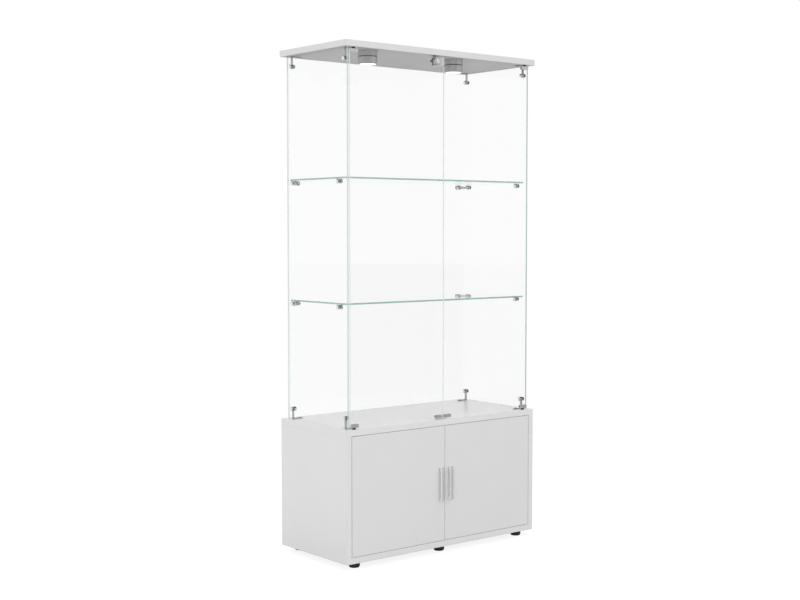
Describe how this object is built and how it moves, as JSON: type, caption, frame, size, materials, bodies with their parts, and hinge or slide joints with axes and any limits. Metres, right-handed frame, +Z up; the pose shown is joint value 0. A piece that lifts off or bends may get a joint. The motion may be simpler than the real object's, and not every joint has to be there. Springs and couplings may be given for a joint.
{
  "type": "display cabinet",
  "caption": "Tall display cabinet: light grey base with hinged doors, glass showcase with glass shelves and lockable glass doors, canopy board with surface lamps.",
  "frame": {"origin": "on the floor, under the middle of the whole object's width and depth", "axes": "+Z up, +X to the right seen from the front, front (doors and pulls) towards -Y"},
  "size_m": [0.9, 0.417, 1.83],
  "materials": {
    "board": "light grey laminate, satin",
    "door": "light grey laminate, half gloss",
    "back_panel": "light grey, matt",
    "feet": "black, matt",
    "fittings": "zinc plated",
    "bushes": "black nylon",
    "magnets": "black housing",
    "pull": "satin",
    "glass": "clear, polished edges",
    "bracket": "satin",
    "bolt_cap": "polished",
    "clamp": "satin",
    "lock": "polished",
    "lamp": "silver grey, satin",
    "lens": "white, glowing"
  },
  "bodies": {
    "cabinet": {"base_side_left": "board", "base_side_right": "board", "base_top_board": "board", "base_bottom_board": "board", "canopy": "board", "base_back_panel": "back_panel", "front_feet": "feet", "back_feet": "feet", "cam_locks": "fittings", "cam_bolts": "fittings", "bracket_screws": "fittings", "lock_strike": "fittings", "base_door_bushes": "bushes", "glass_door_bushes": "bushes", "base_door_magnets": "magnets", "glass_door_magnet": "magnets", "glass_side_left": "glass", "glass_side_right": "glass", "glass_back": "glass", "shelf_lower": "glass", "shelf_upper": "glass", "brackets_bottom_left": "bracket", "brackets_bottom_right": "bracket", "brackets_top_left": "bracket", "brackets_top_right": "bracket", "corner_connector_lower_left": "bracket", "corner_connector_lower_right": "bracket", "corner_connector_upper_left": "bracket", "corner_connector_upper_right": "bracket", "glass_bolts_left": "bolt_cap", "glass_bolts_right": "bolt_cap", "shelf_studs_lower": "bolt_cap", "shelf_studs_upper": "bolt_cap", "connector_bolts": "bolt_cap", "lamp_body_left": "lamp", "lamp_body_right": "lamp", "lamp_ring_left": "lamp", "lamp_ring_right": "lamp", "lamp_lens_left": "lens", "lamp_lens_right": "lens"},
    "glass_door_left": {"glass_door_left": "glass", "door_clamps_left": "clamp", "strike_plate_left": "clamp", "lock_case": "lock"},
    "glass_door_right": {"glass_door_right": "glass", "door_clamps_right": "clamp", "strike_plate_right": "clamp"},
    "lock_cylinder": {"lock_plug": "lock", "lock_cam": "fittings"},
    "base_door_left": {"base_door_left": "door", "pull_left": "pull", "pull_screws_left": "fittings", "pivot_plates_left": "fittings", "catch_plate_left": "fittings"},
    "base_door_right": {"base_door_right": "door", "pull_right": "pull", "pull_screws_right": "fittings", "pivot_plates_right": "fittings", "catch_plate_right": "fittings"}
  },
  "joints": [
    {"name": "glass_door_left_hinge", "type": "hinge", "parent": "cabinet", "child": "glass_door_left", "pos_m": [-0.4075, -0.1785, 0.49], "axis": [0, 0, -1], "range_deg": [0, 110]},
    {"name": "glass_door_right_hinge", "type": "hinge", "parent": "cabinet", "child": "glass_door_right", "pos_m": [0.4075, -0.1785, 0.49], "axis": [0, 0, 1], "range_deg": [0, 110]},
    {"name": "lock_turn", "type": "hinge", "parent": "glass_door_left", "child": "lock_cylinder", "pos_m": [-0.037, -0.1875, 1.788], "axis": [0, 1, 0], "range_deg": [0, 90]},
    {"name": "base_door_left_hinge", "type": "hinge", "parent": "cabinet", "child": "base_door_left", "pos_m": [-0.406, -0.1835, 0.042], "axis": [0, 0, -1], "range_deg": [0, 110]},
    {"name": "base_door_right_hinge", "type": "hinge", "parent": "cabinet", "child": "base_door_right", "pos_m": [0.406, -0.1835, 0.042], "axis": [0, 0, 1], "range_deg": [0, 110]}
  ]
}
